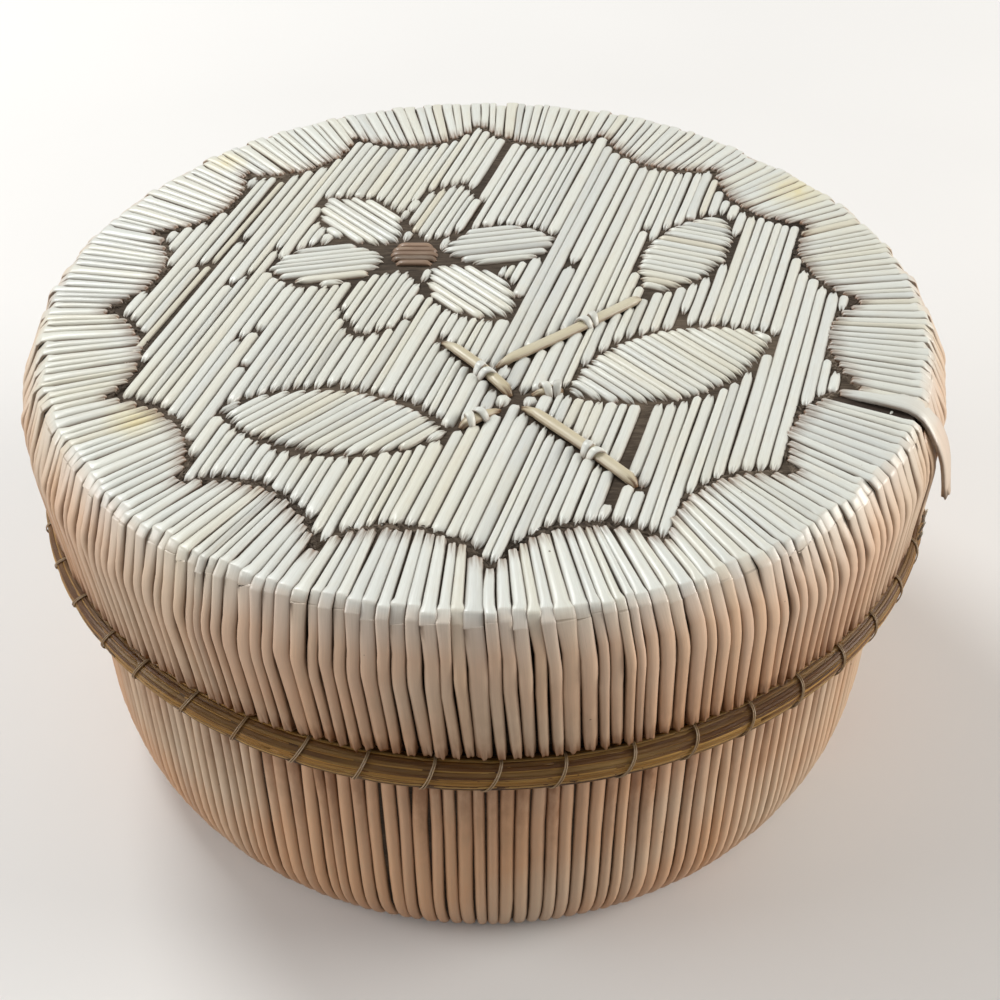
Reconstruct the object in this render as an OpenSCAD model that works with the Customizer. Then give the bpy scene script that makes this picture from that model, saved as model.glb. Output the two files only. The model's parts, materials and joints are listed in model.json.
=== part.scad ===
// Round lidded box of birch bark, covered with laid and bent porcupine quills.
// The origin is the centre of the underside; +Z is up and the front is towards -Y.

/* [Base] */
// Radius of the base over its quills
base_r = 57.6; // [45:0.1:75]
// Height of the quilled wall of the base
base_h = 38.9; // [28:0.1:60]
// How far the foot of the base draws in
foot_inset = 4.8; // [2:0.1:6]
// Height at which the foot begins to draw in
foot_h = 20; // [10:0.5:24]
// Gap between the table and the ends of the base quills
foot_gap = 0.3; // [0.1:0.05:0.6]
// Height that the inner band stands above the base wall
collar_h = 15; // [8:0.5:18]

/* [Lid] */
// Height of the lid, from its lower edge to the top of its border
lid_h = 25.9; // [22:0.1:34]
// How far the bow of the lid quills stands out past the lid edge
bow_out = 3; // [1:0.1:4]
// Depth of the bow below the top of the lid
bow_drop = 6.85; // [4:0.05:9]

/* [Bark] */
// Thickness of the bark in the top, the bottom and the base wall
bark_t = 1.2; // [0.8:0.05:1.8]
// Thickness of the bark band in the lid wall
lid_band_t = 1.0; // [0.6:0.05:1.6]
// Thickness of the thin lining bark
lining_t = 0.7; // [0.4:0.05:1]
// Thickness of the collar band inside the base
collar_t = 1.0; // [0.6:0.05:1.6]
// Running gap between the collar and the lid lining
lid_fit = 0.35; // [0.2:0.05:0.8]
// Gap between the lower edge of the lid and the base wall
seat_gap = 0.2; // [0.1:0.05:0.4]
// Gap between two layers that are sewn together
skin = 0.05; // [0.02:0.01:0.1]
// Width of the slit where the ends of a band meet
seam = 0.4; // [0.2:0.1:1]

/* [Quills] */
// Thickness of a flattened quill
quill_t = 0.7; // [0.5:0.05:0.9]
// Number of lobes in the scalloped border
lobes = 16; // [12:2:20]
// Number of border quills in one lobe
lobe_quills = 15; // [10:1:16]
// Radius of the border's inner line where two lobes meet
cusp_r = 51.1; // [49:0.1:53]
// Depth of a lobe, from its meeting lines in to its crown
lobe_depth = 6; // [3:0.1:9]
// Angle of one of the meeting lines, from +X
cusp_turn = -88.5; // [-100:0.5:-80]
// Gap between neighbouring border quills, at the lid edge
border_gap = 0.12; // [0.08:0.01:0.3]
// Spacing of the base quills
base_pitch = 1.78; // [1.5:0.01:3]
// Gap between neighbouring base quills
base_gap = 0.24; // [0.1:0.01:0.5]
// Spacing of the long field quills
field_pitch = 1.12; // [1:0.01:2]
// Direction of the field quills, from +X
field_turn = 73; // [60:1:85]
// Gap between neighbouring laid quills
laid_gap = 0.1; // [0.06:0.01:0.3]
// Length of the pointed end of a laid quill
point_l = 1.6; // [0.8:0.1:2]
// Width of the bare line along the scalloped border
line_w = 0.9; // [0.5:0.1:1.5]
// Width of the bare line round each quilled shape
shape_gap = 0.5; // [0.4:0.1:1.2]
// Shortest quill that is laid
shortest = 3; // [2:0.5:6]
// Longest quill that is laid, beyond which two lie end to end
longest = 62; // [50:1:70]
// Bevel of the top bark's upper edge, inside the fold of the quills
edge_bevel = 0.4; // [0.3:0.05:0.6]

/* [Sprig] */
// Distance of the flower's centre from the box axis along X
flower_x = -10; // [-12:0.5:-8]
// Distance of the flower's centre from the box axis along Y
flower_y = 12.5; // [11:0.5:15]
// Number of petals
petals = 6; // [5:1:6]
// Length of a petal
petal_l = 16.5; // [13:0.5:17]
// Width of a petal
petal_w = 10; // [7:0.5:10.5]
// Radius of the flower's eye
eye_r = 3.4; // [3:0.1:3.8]
// Diameter of a stem quill
stem_d = 1.1; // [0.8:0.1:1.4]
// Gap between a stem quill and the field quills beside it
stem_gap = 0.35; // [0.3:0.05:0.6]
// Thickness of a tie over a stem
tie_d = 0.6; // [0.4:0.1:0.9]

/* [Loose quill] */
// How far the loose quill's end stands out past the lid edge
loose_out = 5.6; // [4:0.2:6]
// Depth of the loose quill's end below the top of the lid
loose_drop = 10.8; // [9:0.2:12]

/* [Rim] */
// Thickness of the grass bundle round the lid's lower edge
rim_d = 3.8; // [3:0.1:4.4]
// Number of grass ridges round the bundle
rim_ridges = 14; // [8:1:18]
// Spacing of the binding stitches
stitch_pitch = 7.9; // [5:0.1:12]
// Thickness of the binding thread
thread_d = 0.44; // [0.3:0.02:0.6]
// Slant of the binding stitches
stitch_slant = 28; // [0:1:34]

/* [Hidden] */
$fn = 48;
top_z = base_h + seat_gap + lid_h;
lid_foot_z = base_h + seat_gap;

// Base radii, from the outside in
base_bark_r = base_r - quill_t - skin;
collar_r = base_bark_r - bark_t - skin;

// Lid radii, from the collar out
lid_lining_r = collar_r + lid_fit + lining_t;
lid_bark_r = lid_lining_r + skin + lid_band_t;
lid_edge_r = lid_bark_r + skin + quill_t;
bow_r = lid_edge_r + bow_out;

// Lid levels, from the top down
border_z = top_z - quill_t;
top_bark_z = border_z - bark_t;
top_lining_z = top_bark_z - skin - lining_t;
field_r = (field_pitch - laid_gap) / 2;
stem_z = border_z + skin + max(stem_d / 2, field_r);

// Rim bundle and stitches
rim_c = lid_bark_r + skin + rim_d / 2;
rim_z = lid_foot_z + rim_d / 2;
stitch_r = (rim_d / 2 + thread_d / 2 + skin) / cos(stitch_slant);
stitch_turn = acos(-(rim_c - lid_bark_r - thread_d / 2 - skin) / stitch_r);
stitches = round(2 * PI * (rim_c + rim_d / 2) / stitch_pitch);

// Border lobes: each inner line is an arc that bulges towards the lid's centre
crown_r = cusp_r - lobe_depth;
border_count = lobes * lobe_quills;
lobe_half = 180 / lobes;
lobe_c = (cusp_r * cusp_r - crown_r * crown_r) / (2 * (cusp_r * cos(lobe_half) - crown_r));
lobe_r = lobe_c - crown_r;
base_count = 4 * round(PI * base_r / 2 / base_pitch);

// Border quills: where the foot turns in over the rim, and half the height of the bow and of the fold
foot_out = 1.2;
foot_rise = 0.9;
bow_half = 1.1;
fold_half = 0.75;

// How sharply the foot of the base draws in
foot_curve = 3.4;
// Levels at which the outline of the base is taken
base_levels = concat([for (u = [0, 0.16, 0.4, 1]) foot_gap + u * (foot_h - foot_gap)], [base_h]);

// Direction of the first petal, from +X
petal_turn = 12;
// Leaves as [centre, length, width, direction, direction of the quills], in shares of crown_r
leaf_shares = [
  [[0.53, -0.29], 0.665, 0.31, 24, 132],
  [[-0.4, -0.555], 0.643, 0.277, 172, 44],
  [[0.62, 0.29], 0.532, 0.244, 58, 160],
];
leaves = [for (leaf = leaf_shares)
  [leaf[0] * crown_r, leaf[1] * crown_r, leaf[2] * crown_r, leaf[3], leaf[4]]];
// Stem quills as [start, end], in shares of crown_r
stem_shares = [
  [[-0.122, -0.188], [0.078, -0.443]],
  [[0.106, -0.488], [0.4, -0.82]],
  [[0.133, -0.432], [0.222, -0.415]],
  [[0.049, -0.5], [-0.062, -0.581]],
  [[0.033, -0.31], [0.466, 0.033]],
];
stems = stem_shares * crown_r;
// Share of each stem's length at which its pair of ties lies, and the step between the two
tie_share = 0.62;
tie_step = 1.2;
// Border quill that has come loose, and its lost neighbour, counted round from the start of the front
loose_index = 73;
lost_index = 72;
// Share of its reach at which the loose quill bends down, half way along its drop
loose_bend = 0.6;

// Depth of the furrows between the grass blades
furrow = 0.18;

bark = "#8a5f3c";
lining = "#b98d5f";
quill = "#e9e2cd";
tan_quill = "#cbb68a";
brown_quill = "#6b4a38";
grass = "#a9843f";
thread = "#d8cda8";

// ---- Outlines ----

// Radius of the base over its quills at height z
function base_radius(z) = base_r - foot_inset * pow(max(0, 1 - z / foot_h), foot_curve);

// Section of a layer that lies `depth` inside the outer surface of the base
function base_layer(depth, thick, levels) = concat(
  [for (z = levels) [base_radius(z) - depth, z]],
  [for (i = [len(levels) - 1 : -1 : 0]) [base_radius(levels[i]) - depth - thick, levels[i]]]);

// Radius of the border's inner line at an angle from +X
function border_radius(turn) =
  let (off = (turn - cusp_turn) - 2 * lobe_half * floor((turn - cusp_turn) / (2 * lobe_half)) - lobe_half)
  lobe_c * cos(off) - sqrt(lobe_r * lobe_r - pow(lobe_c * sin(off), 2));

// Normal to the way from a to b, on its left
function left_of(a, b) = [a[1] - b[1], b[0] - a[0]] / norm(b - a);

// A run of points moved to its left by d, with mitred corners
function moved(run, d) = let (n = len(run) - 1) [for (i = [0 : n])
  let (m = left_of(run[max(i - 1, 0)], run[max(i, 1)]) + left_of(run[min(i, n - 1)], run[min(i + 1, n)]))
  run[i] + m * 2 * d / (m * m)];

// The outside of a border quill, from its end behind the rim up over the edge
border_run = [
  [lid_bark_r + 1.2 * quill_t, lid_foot_z + rim_d + thread_d],
  [lid_edge_r + foot_out, lid_foot_z + rim_d + 2 * thread_d + foot_rise],
  [bow_r - 0.1 * bow_half, top_z - bow_drop - bow_half],
  [bow_r - 0.25 * bow_half, top_z - bow_drop + bow_half],
  [lid_edge_r + 0.2 * fold_half, top_z - fold_half],
  [lid_edge_r - fold_half, top_z]];

// Section of a border quill, from the outside run to its wedge at the inner line
function border_section(run, inner_r) = let (inner = moved(concat(run, [[inner_r, top_z]]), quill_t))
  concat(run, [[inner_r + quill_t, top_z], [inner_r, border_z + 0.3 * quill_t], [inner_r, border_z]],
         [for (i = [len(run) - 1 : -1 : 0]) inner[i]]);

// ---- Lines of laid quills ----

// Where a line from o along the unit vector d lies inside a circle, as [from, to], or []
function chord(o, d, circle) =
  let (v = [circle[0], circle[1]] - o, t = v * d, h = circle[2] * circle[2] - v * v + t * t)
  h > 0 ? [t - sqrt(h), t + sqrt(h)] : [];

// The part that two stretches share
function shared(a, b) = a == [] || b == [] || max(a[0], b[0]) >= min(a[1], b[1]) ? []
  : [max(a[0], b[0]), min(a[1], b[1])];

// Stretches that are left when one stretch is taken out of each
function without(list, gap) = gap == [] ? list : [for (s = list)
  for (t = [[s[0], min(s[1], gap[0])], [max(s[0], gap[1]), s[1]]]) if (t[1] - t[0] >= shortest) t];
function without_all(list, gaps, i = 0) =
  i == len(gaps) ? list : without_all(without(list, gaps[i]), gaps, i + 1);

// A pointed leaf as two circles that cross: [centre, length, width, direction], grown by `more`
function leaf_circles(leaf, more = 0) =
  let (r = (leaf[1] * leaf[1] + leaf[2] * leaf[2]) / (4 * leaf[2]),
       side = [-sin(leaf[3]), cos(leaf[3])] * (r - leaf[2] / 2))
  [concat(leaf[0] + side, r + more), concat(leaf[0] - side, r + more)];
function leaf_chord(o, d, leaf, more = 0) =
  let (c = leaf_circles(leaf, more)) shared(chord(o, d, c[0]), chord(o, d, c[1]));

// Petals round the flower, as leaves
petal_list = [for (i = [0 : petals - 1]) let (turn = petal_turn + i * 360 / petals)
  [[flower_x, flower_y] + (eye_r + shape_gap + petal_l / 2) * [cos(turn), sin(turn)], petal_l, petal_w, turn]];
eye_circle = [flower_x, flower_y, eye_r];

// Lobes as circles, for the lines of the field
lobe_circles = [for (i = [0 : lobes - 1]) let (turn = cusp_turn + (2 * i + 1) * lobe_half)
  [lobe_c * cos(turn), lobe_c * sin(turn), lobe_r + line_w]];

// Bare lines along the stems, as thin leaves that reach a little past the ends
stem_lines = [for (ends = stems) let (run = ends[1] - ends[0])
  [(ends[0] + ends[1]) / 2, norm(run) + 4, stem_d + 2 * stem_gap, atan2(run[1], run[0])]];

// A stretch too long for one quill as two that meet at a share of it
function split(t, share) = t[1] - t[0] <= longest ? [t] : let (m = t[0] + share * (t[1] - t[0]))
  [[t[0], m - laid_gap / 2], [m + laid_gap / 2, t[1]]];

// Stretches of one line of the field, at a distance s to the side of the axis
function field_line(s) =
  let (d = [cos(field_turn), sin(field_turn)], o = s * [-d[1], d[0]],
       whole = chord(o, d, [0, 0, cusp_r - line_w]),
       gaps = concat([for (c = lobe_circles) chord(o, d, c)],
                     [for (leaf = concat(leaves, petal_list)) leaf_chord(o, d, leaf, shape_gap)],
                     [for (line = stem_lines) leaf_chord(o, d, line)],
                     [chord(o, d, eye_circle + [0, 0, shape_gap])]))
  whole == [] ? [] : [for (left = without_all([whole], gaps))
    for (t = split(left, 0.4 + 0.2 * (abs(floor(s / field_pitch)) % 2))) [o + t[0] * d, o + t[1] * d]];

// Stretches of parallel lines that fill a leaf
function leaf_lines(leaf, turn) =
  let (d = [cos(turn), sin(turn)], side = [-d[1], d[0]], n = ceil(leaf[1] / 2 / field_pitch))
  [for (i = [-n : n]) let (o = leaf[0] + (i + 0.5) * field_pitch * side, t = leaf_chord(o, d, leaf))
    if (t != [] && t[1] - t[0] >= shortest) [o + t[0] * d, o + t[1] * d]];

// ---- Quills ----

// A half-round quill with pointed ends, from one point to another, flat on the bark
module laid_quill(ends, r = field_r) {
  run = ends[1] - ends[0];
  length = norm(run);
  point = min(point_l, length / 3);
  section = [[0, 0], [0.3 * r, 0], [r, point], [r, length - point], [0.3 * r, length], [0, length]];
  translate([ends[0][0], ends[0][1], border_z]) rotate([90, 0, 90 + atan2(run[1], run[0])])
    rotate_extrude(angle = 180) polygon(section);
}

// A round quill with pointed ends, lying on the bark in its bare line
module stem_quill(ends) {
  run = ends[1] - ends[0];
  length = norm(run);
  section = [[0, 0], [0.15 * stem_d, 0], [stem_d / 2, 2 * point_l],
             [stem_d / 2, length - point_l], [0.2 * stem_d, length], [0, length]];
  translate([ends[0][0], ends[0][1], stem_z])
    rotate([90, 0, 90 + atan2(run[1], run[0])]) rotate_extrude() polygon(section);
}

// One bent quill of the lid border, counted round from the start of the front
module border_quill(index, run = border_run) {
  turn = cusp_turn - 45 + (index + 0.5) * 360 / border_count;
  width = 360 / border_count - border_gap / lid_edge_r * 180 / PI;
  rotate([0, 0, turn - width / 2]) rotate_extrude(angle = width)
    polygon(border_section(run, border_radius(turn)));
}

// A quarter of the border quills, or of the base quills: 0 is the front, then right, back and left
module border_quarter(quarter) {
  color(quill) for (i = [0 : border_count / 4 - 1]) {
    index = quarter * border_count / 4 + i;
    if (index != loose_index && index != lost_index) border_quill(index);
  }
}
module base_quarter(quarter) {
  width = 360 / base_count - base_gap / base_r * 180 / PI;
  color(quill) for (i = [0 : base_count / 4 - 1])
    rotate([0, 0, cusp_turn - 45 + (quarter * base_count / 4 + i) * 360 / base_count])
      rotate_extrude(angle = width) polygon(base_layer(0, quill_t, base_levels));
}

// Field quills between two distances to the side of the axis
module field_band(low, high) {
  color(quill) for (i = [round(low / field_pitch) : round(high / field_pitch) - 1])
    for (ends = field_line((i + 0.5) * field_pitch)) laid_quill(ends);
}

// A strip bent into a ring, whose ends leave a slit at the back
module bark_ring(section) {
  slit = seam / section[0][0] * 180 / PI;
  rotate([0, 0, 90 + slit / 2]) rotate_extrude(angle = 360 - slit) polygon(section);
}

// ---- Base ----

module base_bottom_bark() {
  color(bark) cylinder(r = base_radius(foot_gap) - quill_t - bark_t - 3 * skin, h = bark_t);
}
module base_wall_bark() {
  color(bark) bark_ring(base_layer(quill_t + skin, bark_t, base_levels));
}
module base_lining_disc() {
  z = bark_t + skin;
  color(lining) translate([0, 0, z])
    cylinder(r = base_radius(z) - quill_t - bark_t - 3 * skin, h = lining_t);
}
module base_collar_band() {
  levels = concat([bark_t + lining_t + 2 * skin], [for (i = [2 : len(base_levels) - 1]) base_levels[i]],
                  [base_h + collar_h]);
  color(lining) bark_ring(base_layer(quill_t + bark_t + 2 * skin, collar_t, levels));
}
module base_quills_front() { base_quarter(0); }
module base_quills_right() { base_quarter(1); }
module base_quills_back() { base_quarter(2); }
module base_quills_left() { base_quarter(3); }

// ---- Lid ----

module lid_top_bark() {
  color(bark) rotate_extrude() polygon([[0, top_bark_z], [lid_bark_r, top_bark_z],
    [lid_bark_r, border_z - edge_bevel], [lid_bark_r - edge_bevel, border_z], [0, border_z]]);
}
module lid_wall_bark() {
  color(bark) bark_ring([[lid_bark_r, lid_foot_z], [lid_bark_r, top_bark_z - skin],
    [lid_bark_r - lid_band_t, top_bark_z - skin], [lid_bark_r - lid_band_t, lid_foot_z]]);
}
module lid_lining_disc() {
  color(lining) translate([0, 0, top_lining_z]) cylinder(r = lid_lining_r, h = lining_t);
}
module lid_lining_band() {
  color(lining) bark_ring([[lid_lining_r, lid_foot_z], [lid_lining_r, top_lining_z - skin],
    [lid_lining_r - lining_t, top_lining_z - skin], [lid_lining_r - lining_t, lid_foot_z]]);
}
module border_quills_front() { border_quarter(0); }
module border_quills_right() { border_quarter(1); }
module border_quills_back() { border_quarter(2); }
module border_quills_left() { border_quarter(3); }

// ---- Field and sprig ----

module field_quills_left() { field_band(cusp_r / 3, cusp_r); }
module field_quills_middle() { field_band(-cusp_r / 3, cusp_r / 3); }
module field_quills_right() { field_band(-cusp_r, -cusp_r / 3); }
module petal_quills() {
  color(quill) for (petal = petal_list) for (ends = leaf_lines(petal, petal[3])) laid_quill(ends);
}
module flower_eye_quills() {
  color(brown_quill) for (s = [-2 : 2]) {
    t = chord([flower_x, flower_y + s * field_pitch], [1, 0], eye_circle);
    laid_quill([for (e = t) [flower_x + e, flower_y + s * field_pitch]]);
  }
}
module leaf_fill(leaf) { color(quill) for (ends = leaf_lines(leaf, leaf[4])) laid_quill(ends); }
module leaf_quills_front() { leaf_fill(leaves[0]); }
module leaf_quills_left() { leaf_fill(leaves[1]); }
module leaf_quills_right() { leaf_fill(leaves[2]); }
module stem_quills() { color(tan_quill) for (ends = stems) stem_quill(ends); }

// Pairs of short quills that hold the stems down
module stem_ties() {
  tie_r = stem_d / 2 + tie_d / 2 + skin;
  color(quill) for (ends = stems) for (side = [-1, 1]) {
    run = ends[1] - ends[0];
    at = ends[0] + run * tie_share + side * tie_step / 2 * run / norm(run);
    translate([at[0], at[1], stem_z])
      rotate([90, 0, 90 + atan2(run[1], run[0])]) rotate_extrude(angle = 180)
        translate([tie_r, 0]) circle(d = tie_d);
  }
}

// The border quill that has sprung out of its row, and hangs outside the lid wall
module loose_quill() {
  color(quill) border_quill(loose_index, [[lid_edge_r + loose_out, top_z - loose_drop],
    [lid_edge_r + loose_bend * loose_out, top_z - loose_drop / 2], [lid_edge_r, top_z]]);
}

// ---- Rim ----

// Grass bundle, its section ridged by the blades
module rim_grass() {
  steps = 2 * rim_ridges;
  color(grass) translate([0, 0, rim_z]) rotate_extrude() translate([rim_c, 0])
    polygon([for (i = [0 : steps - 1]) (rim_d / 2 - (i % 2) * furrow)
      * [cos(i * 360 / steps), sin(i * 360 / steps)]]);
}
module rim_stitches() {
  color(thread) for (i = [0 : stitches - 1]) rotate([0, 0, cusp_turn + i * 360 / stitches])
    translate([rim_c, 0, rim_z]) rotate([90 - stitch_slant, 0, 0]) rotate([0, 0, -stitch_turn])
      rotate_extrude(angle = 2 * stitch_turn) translate([stitch_r, 0]) circle(d = thread_d);
}

base_bottom_bark();
base_wall_bark();
base_lining_disc();
base_collar_band();
base_quills_front();
base_quills_right();
base_quills_back();
base_quills_left();
lid_top_bark();
lid_wall_bark();
lid_lining_disc();
lid_lining_band();
border_quills_front();
border_quills_right();
border_quills_back();
border_quills_left();
field_quills_left();
field_quills_middle();
field_quills_right();
petal_quills();
flower_eye_quills();
leaf_quills_front();
leaf_quills_left();
leaf_quills_right();
stem_quills();
stem_ties();
loose_quill();
rim_grass();
rim_stitches();
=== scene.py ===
import json
import math

import bpy
import numpy as np
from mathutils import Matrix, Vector


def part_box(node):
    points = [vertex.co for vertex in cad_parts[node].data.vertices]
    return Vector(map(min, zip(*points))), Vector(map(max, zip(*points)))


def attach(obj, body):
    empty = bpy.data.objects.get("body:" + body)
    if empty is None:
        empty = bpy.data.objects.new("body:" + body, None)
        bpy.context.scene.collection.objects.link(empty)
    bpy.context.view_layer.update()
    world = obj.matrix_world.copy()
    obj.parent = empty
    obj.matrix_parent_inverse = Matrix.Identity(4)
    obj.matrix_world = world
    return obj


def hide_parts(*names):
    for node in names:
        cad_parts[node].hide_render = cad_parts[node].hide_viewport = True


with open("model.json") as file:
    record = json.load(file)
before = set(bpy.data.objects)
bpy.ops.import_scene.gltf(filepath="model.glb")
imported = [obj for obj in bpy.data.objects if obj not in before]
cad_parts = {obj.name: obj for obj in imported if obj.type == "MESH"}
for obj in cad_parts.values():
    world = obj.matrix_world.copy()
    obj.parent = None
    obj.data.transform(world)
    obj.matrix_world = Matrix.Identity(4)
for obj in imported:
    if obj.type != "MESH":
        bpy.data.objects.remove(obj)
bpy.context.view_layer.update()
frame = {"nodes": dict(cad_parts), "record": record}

MM = 0.001
SEED = 41
rng = np.random.default_rng(SEED)


def box_mm(node):
    low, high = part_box(node)
    return np.array(low) / MM, np.array(high) / MM


def reach_mm(node):
    """Largest distance of a node from the box axis."""
    return max(math.hypot(v.co.x, v.co.y) for v in frame["nodes"][node].data.vertices) / MM


# ---- Sizes, from the frame ----
TOP = box_mm("border_quills_front")[1][2]  # crown of the border's quills
BARK = box_mm("lid_top_bark")[1][2]  # upper face of the lid's bark
BARK_R = reach_mm("lid_top_bark")
EDGE_R = BARK_R + 0.75  # where the border's quills fold
BOW_R = reach_mm("border_quills_right")  # where they bow out furthest
BASE_R = reach_mm("base_quills_right")
BASE_TOP = box_mm("base_quills_right")[1][2]
RIM_LOW, RIM_HIGH = (box_mm("rim_grass")[i][2] for i in (0, 1))
RIM_D = RIM_HIGH - RIM_LOW
RIM_Z = (RIM_LOW + RIM_HIGH) / 2
RIM_C = reach_mm("rim_grass") - RIM_D / 2  # from the axis to the middle of the grass bundle
RING_R = 0.55 * RIM_D  # radius of the bundle itself
TIE_TOP = box_mm("stem_ties")[1][2]
FIELD_H = box_mm("field_quills_middle")[1][2] - BARK

# ---- Sizes, as the source has them ----
FOOT_INSET, FOOT_H, FOOT_POWER = 4.8, 20.0, 3.4
BOW_DROP = 6.85
LOBES, LOBE_QUILLS = 16, 15
CUSP_R, LOBE_DEPTH, CUSP_TURN = 51.1, 6.0, -88.5
BASE_COUNT = 204
FIELD_TURN = 73.0
SHAPE_GAP = 0.5
FLOWER = np.array([-10.0, 12.5])
PETALS, PETAL_L, PETAL_W, PETAL_TURN = 6, 16.5, 10.0, 12
EYE_R, EYE_PITCH = 3.4, 1.12
CROWN_R = CUSP_R - LOBE_DEPTH
# Middle, length and width in shares of CROWN_R, heading of the leaf, heading of its quills
LEAVES = [[np.array(c) * CROWN_R, l * CROWN_R, w * CROWN_R, a, q] for c, l, w, a, q in (
    ((0.53, -0.29), 0.665, 0.31, 24, 132),
    ((-0.4, -0.555), 0.643, 0.277, 172, 44),
    ((0.62, 0.29), 0.532, 0.244, 58, 160))]
# Start and end in shares of CROWN_R
STEMS = [np.array(s) * CROWN_R for s in (
    ((-0.122, -0.188), (0.078, -0.443)),
    ((0.106, -0.488), (0.4, -0.82)),
    ((0.133, -0.432), (0.222, -0.415)),
    ((0.049, -0.5), (-0.062, -0.581)),
    ((0.033, -0.31), (0.466, 0.033)))]
TIE_SHARE, TIE_STEP = 0.62, 1.5
LOOSE, LOST = 73, 72
STITCHES, STITCH_SLANT = 49, 28.0
SIDES = ("front", "right", "back", "left")
START = CUSP_TURN - 45  # where the first side begins

BORDER_COUNT = LOBES * LOBE_QUILLS
BORDER_QUARTER, BASE_QUARTER = BORDER_COUNT // 4, BASE_COUNT // 4
LOBE_HALF = 180 / LOBES
LOBE_C = (CUSP_R ** 2 - CROWN_R ** 2) / (
    2 * (CUSP_R * math.cos(math.radians(LOBE_HALF)) - CROWN_R))  # from the axis to a lobe's centre
LOBE_R = LOBE_C - CROWN_R

# ---- Sizes of this scene alone ----
FIELD_PITCH, FIELD_THICK = 1.4, 1.2
SPRIG_PITCH, SPRIG_THICK = 1.25, 1.15
CELL_LEAST, CELL_MOST = 0.58, 1.6  # widths of border and base quills, next to the mean
BLADES = 56


# ---- Small helpers ----
def bell(turn, centre, spread):
    """1 at an angle, falling to 0 away from it."""
    return math.exp(-(((turn - centre + 180) % 360 - 180) / spread) ** 2)


def bell_of(s, centre, spread):
    """1 at a place along a quill, falling to 0 away from it."""
    return np.exp(-((s - centre) / spread) ** 2)


def table(at, pairs, more=0.0):
    """Values at places, from the (place, value) pairs of a table."""
    places, values = zip(*pairs)
    return np.interp(at, places, np.array(values) + more)


def stray(at, pairs):
    """Random values at places, from the (place, spread) pairs of a table."""
    places, spreads = zip(*pairs)
    return np.interp(at, places, rng.normal(0, spreads))


def about(middle, spread, least, most):
    """A random number near a middle, within limits."""
    return float(np.clip(middle + spread * rng.standard_normal(), least, most))


def tone_of(middle=0.5):
    """The tone of one quill: most are alike, a few stand out."""
    return about(middle, 0.17, 0, 1)


def laid_width(pitch):
    """The width of a quill that fills its pitch but for a thin line."""
    return (pitch - 0.01) * rng.uniform(0.97, 1.03)


def uneven(s, amount, step=3.0):
    """Slow change of a width or height along a quill."""
    at = np.arange(0, s[-1] + 2 * step, step)
    return np.interp(s, at, 1 + amount * rng.standard_normal(len(at)))


def shares(count, spread, fixed):
    """Edges of `count` cells of uneven width, that meet their even places at the fixed indices."""
    w = np.clip(1 + spread * rng.standard_normal(count), CELL_LEAST, CELL_MOST)
    edges = np.concatenate([[0], np.cumsum(w)])
    fixed = np.array(fixed)
    return edges + np.interp(np.arange(count + 1), fixed, fixed - edges[fixed])


def cell(edges, index):
    """Middle and width of one cell."""
    return (edges[index] + edges[index + 1]) / 2, edges[index + 1] - edges[index]


def base_radius(z):
    return BASE_R - FOOT_INSET * np.maximum(0, 1 - np.asarray(z) / FOOT_H) ** FOOT_POWER


def border_radius(turn):
    """Distance of the scalloped line from the axis."""
    off = (turn - CUSP_TURN) % (2 * LOBE_HALF) - LOBE_HALF
    a = math.radians(off)
    return LOBE_C * math.cos(a) - math.sqrt(LOBE_R ** 2 - (LOBE_C * math.sin(a)) ** 2)


def heading(turn):
    return np.array([math.cos(math.radians(turn)), math.sin(math.radians(turn))])


def sideways(d):
    """A direction in the plane, turned by 90 degrees."""
    return np.array([-d[1], d[0]])


def unit(v):
    return v / np.maximum(np.linalg.norm(v, axis=-1, keepdims=True), 1e-9)


def spokes(turn):
    """Unit vectors from the axis, one for each angle."""
    t = np.radians(turn)
    return np.stack([np.cos(t), np.sin(t), np.zeros_like(t)], axis=1)


# ---- Meshes ----
def piece(name, verts, faces, material, body, nodes=(), attrs=None, smooth=True):
    """One piece of the scene from points in millimetres."""
    mesh = bpy.data.meshes.new(name)
    mesh.from_pydata((np.asarray(verts, float) * MM).tolist(), [], faces)
    mesh.validate()
    if smooth:
        mesh.shade_smooth()
    for key, values in (attrs or {}).items():
        layer = mesh.attributes.new(key, "FLOAT", "POINT")
        layer.data.foreach_set("value", np.asarray(values, np.float32))
    mesh.materials.append(material)
    obj = bpy.data.objects.new(name, mesh)
    bpy.context.scene.collection.objects.link(obj)
    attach(obj, body)
    if nodes:
        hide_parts(*nodes)
    return obj


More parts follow.
